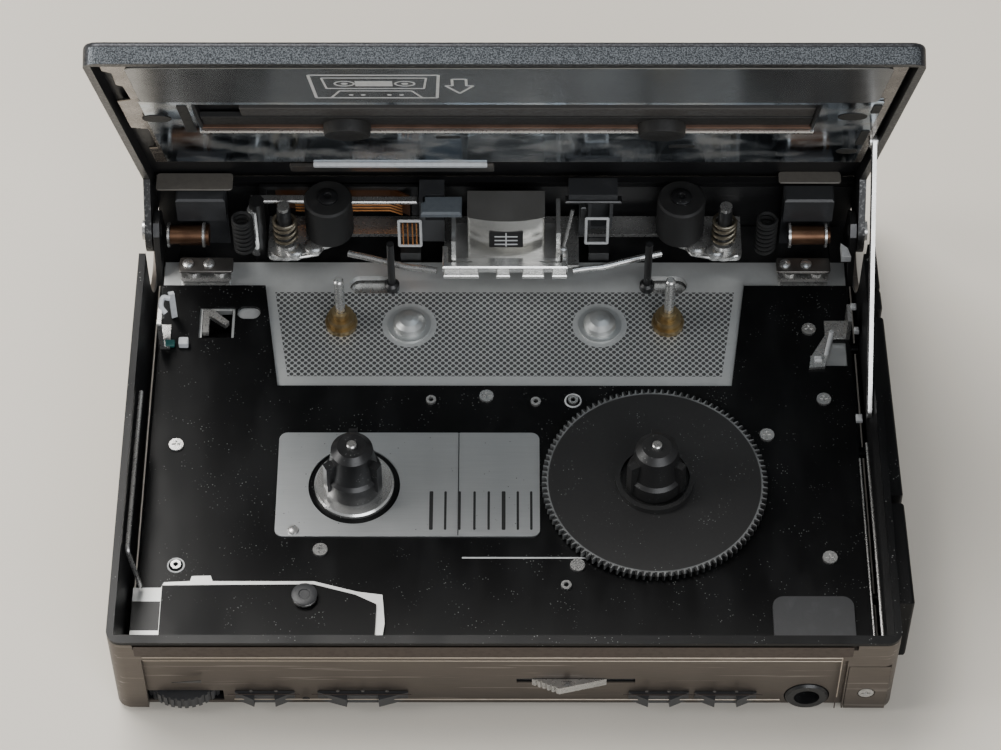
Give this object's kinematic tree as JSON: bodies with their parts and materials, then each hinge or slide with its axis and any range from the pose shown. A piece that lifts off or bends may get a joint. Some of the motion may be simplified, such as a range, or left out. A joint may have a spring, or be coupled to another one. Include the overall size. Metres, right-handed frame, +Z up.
{
  "type": "portable cassette player",
  "caption": "Palm-sized tape cassette player with a hinged lid held open, spindles, capstans, head carriage, sliding front controls and side keys.",
  "frame": {"origin": "centre of the case's flat bottom, on the surface it stands on", "axes": "+X to the right seen from the front, +Y back towards the hinge, +Z up"},
  "size_m": [0.109, 0.0874, 0.0823],
  "materials": {
    "fascia_metal": "satin",
    "black_metal": "satin",
    "black_gloss": "gloss",
    "steel": "satin",
    "dark_steel": "satin",
    "light_sheet": "satin",
    "brushed_label": "brushed",
    "grey_plastic": "matt",
    "black_plastic": "matt",
    "chrome": "polished",
    "brass": "satin",
    "rubber": "matt",
    "board_green": "matt",
    "cell_wrap": "gloss",
    "copper_wire": "satin",
    "ribbon": "satin",
    "lid_metal": "satin",
    "mirror_metal": "polished"
  },
  "bodies": {
    "case": {"main_case": "fascia_metal", "rim_trim": "black_gloss", "bottom_pan": "black_metal", "case_screws": "steel", "chassis_plate": "light_sheet", "deck_plate": "black_gloss", "label_plate": "brushed_label", "domed_studs": "light_sheet", "deck_fasteners": "steel", "front_tab": "grey_plastic", "fixed_posts": "steel", "capstan_bushings": "brass", "motor": "steel", "drive_belt": "rubber", "circuit_board": "board_green", "flat_cell": "cell_wrap", "front_socket": "black_plastic", "corner_plate": "fascia_metal", "side_end_piece": "black_gloss", "rear_floor": "dark_steel", "guide_pins": "black_plastic", "corner_blocks": "grey_plastic", "wound_coils": "copper_wire", "ribbon_cable": "ribbon", "deck_clips": "steel", "hinge_brackets": "dark_steel", "hinge_pins": "steel"},
    "lid": {"lid_shell": "lid_metal", "lid_panel": "grey_plastic", "lid_plate": "mirror_metal", "lid_tray": "black_plastic", "lid_springs": "steel", "stay_stud": "steel"},
    "stay_arm": {"stay_arm": "steel"},
    "slider": {"open_slider": "steel"},
    "latch": {"latch_lever": "chrome", "latch_cover": "black_plastic"},
    "wheel": {"volume_wheel": "grey_plastic"},
    "switch_1": {"switch_knob_1": "grey_plastic"},
    "switch_2": {"switch_knob_2": "grey_plastic"},
    "switch_3": {"switch_knob_3": "grey_plastic"},
    "switch_4": {"switch_knob_4": "grey_plastic"},
    "stop_key": {"stop_key": "black_gloss"},
    "play_key": {"play_key": "black_gloss"},
    "mode_key": {"mode_key": "black_gloss"},
    "left_reel": {"left_spindle": "black_plastic", "left_reel_base": "chrome"},
    "right_reel": {"right_spindle": "black_plastic"},
    "capstan_left": {"capstan_left": "steel"},
    "capstan_right": {"capstan_right": "steel"},
    "motor_rotor": {"motor_pulley": "brass"},
    "head_carriage": {"head_carriage": "steel", "head_bracket": "chrome", "tape_head": "dark_steel", "head_blocks": "grey_plastic", "post_springs": "brass"},
    "pinch_arm_left": {"pinch_arm_left": "steel"},
    "pinch_arm_right": {"pinch_arm_right": "steel"},
    "pinch_roller_left": {"pinch_roller_left": "rubber"},
    "pinch_roller_right": {"pinch_roller_right": "rubber"}
  },
  "joints": [
    {"name": "lid_hinge", "type": "hinge", "parent": "case", "child": "lid", "pos_m": [0, 0.03355, 0.0117], "axis": [-1, 0, 0], "range_deg": [-62.6, 0]},
    {"name": "stay_pivot", "type": "hinge", "parent": "lid", "child": "stay_arm", "pos_m": [0.0515, 0.02619, 0.04111], "axis": [-1, 0, 0], "range_deg": [0, 101]},
    {"name": "slider_slide", "type": "slide", "parent": "case", "child": "slider", "axis": [1, 0, 0], "range_m": [0, 0.0034], "stiffness_N_per_m": 60},
    {"name": "latch_pivot", "type": "hinge", "parent": "case", "child": "latch", "pos_m": [-0.0275, -0.02795, 0.0071], "axis": [0, 0, 1], "range_deg": [0, 3]},
    {"name": "volume_turn", "type": "hinge", "parent": "case", "child": "wheel", "pos_m": [-0.0438, -0.03595, 0.0029], "axis": [0, 0, 1], "range_deg": [-140, 140]},
    {"name": "switch_1_slide", "type": "slide", "parent": "case", "child": "switch_1", "axis": [-1, 0, 0], "range_m": [0, 0.0016]},
    {"name": "switch_2_slide", "type": "slide", "parent": "case", "child": "switch_2", "axis": [1, 0, 0], "range_m": [0, 0.003]},
    {"name": "switch_3_slide", "type": "slide", "parent": "case", "child": "switch_3", "axis": [-1, 0, 0], "range_m": [0, 0.002]},
    {"name": "switch_4_slide", "type": "slide", "parent": "case", "child": "switch_4", "axis": [1, 0, 0], "range_m": [0, 0.002]},
    {"name": "stop_key_press", "type": "slide", "parent": "case", "child": "stop_key", "axis": [-1, 0, 0], "range_m": [0, 0.0005], "stiffness_N_per_m": 400},
    {"name": "play_key_press", "type": "slide", "parent": "case", "child": "play_key", "axis": [-1, 0, 0], "range_m": [0, 0.0005], "stiffness_N_per_m": 400},
    {"name": "mode_key_press", "type": "slide", "parent": "case", "child": "mode_key", "axis": [-1, 0, 0], "range_m": [0, 0.0005], "stiffness_N_per_m": 400},
    {"name": "left_reel_turn", "type": "hinge", "parent": "case", "child": "left_reel", "pos_m": [-0.02125, -0.00875, 0.0116], "axis": [0, 0, 1], "continuous": true},
    {"name": "right_reel_turn", "type": "hinge", "parent": "case", "child": "right_reel", "pos_m": [0.02125, -0.00875, 0.0116], "axis": [0, 0, 1], "continuous": true},
    {"name": "capstan_left_turn", "type": "hinge", "parent": "case", "child": "capstan_left", "pos_m": [-0.024, 0.02035, 0.0116], "axis": [0, 0, 1], "continuous": true},
    {"name": "capstan_right_turn", "type": "hinge", "parent": "case", "child": "capstan_right", "pos_m": [0.024, 0.02035, 0.0116], "axis": [0, 0, 1], "continuous": true},
    {"name": "motor_turn", "type": "hinge", "parent": "case", "child": "motor_rotor", "pos_m": [0, 0.00465, 0.0036], "axis": [0, 0, 1], "continuous": true},
    {"name": "head_slide", "type": "slide", "parent": "case", "child": "head_carriage", "axis": [0, -1, 0], "range_m": [0, 0.0065]},
    {"name": "pinch_left_swing", "type": "hinge", "parent": "head_carriage", "child": "pinch_arm_left", "pos_m": [-0.0324, 0.03255, 0.0116], "axis": [0, 0, -1], "range_deg": [0, 30]},
    {"name": "pinch_right_swing", "type": "hinge", "parent": "head_carriage", "child": "pinch_arm_right", "pos_m": [0.0324, 0.03255, 0.0116], "axis": [0, 0, 1], "range_deg": [0, 30]},
    {"name": "roller_left_turn", "type": "hinge", "parent": "pinch_arm_left", "child": "pinch_roller_left", "pos_m": [-0.026, 0.03495, 0.0126], "axis": [0, 0, 1], "continuous": true},
    {"name": "roller_right_turn", "type": "hinge", "parent": "pinch_arm_right", "child": "pinch_roller_right", "pos_m": [0.026, 0.03495, 0.0126], "axis": [0, 0, 1], "continuous": true}
  ],
  "couplings": [
    {"joint": "stay_pivot", "follows": "lid_hinge", "ratio": -1.609},
    {"joint": "latch_pivot", "follows": "slider_slide", "rad_per_m": 15.3},
    {"joint": "capstan_left_turn", "follows": "motor_turn", "ratio": 0.2085},
    {"joint": "capstan_right_turn", "follows": "motor_turn", "ratio": 0.2085}
  ]
}
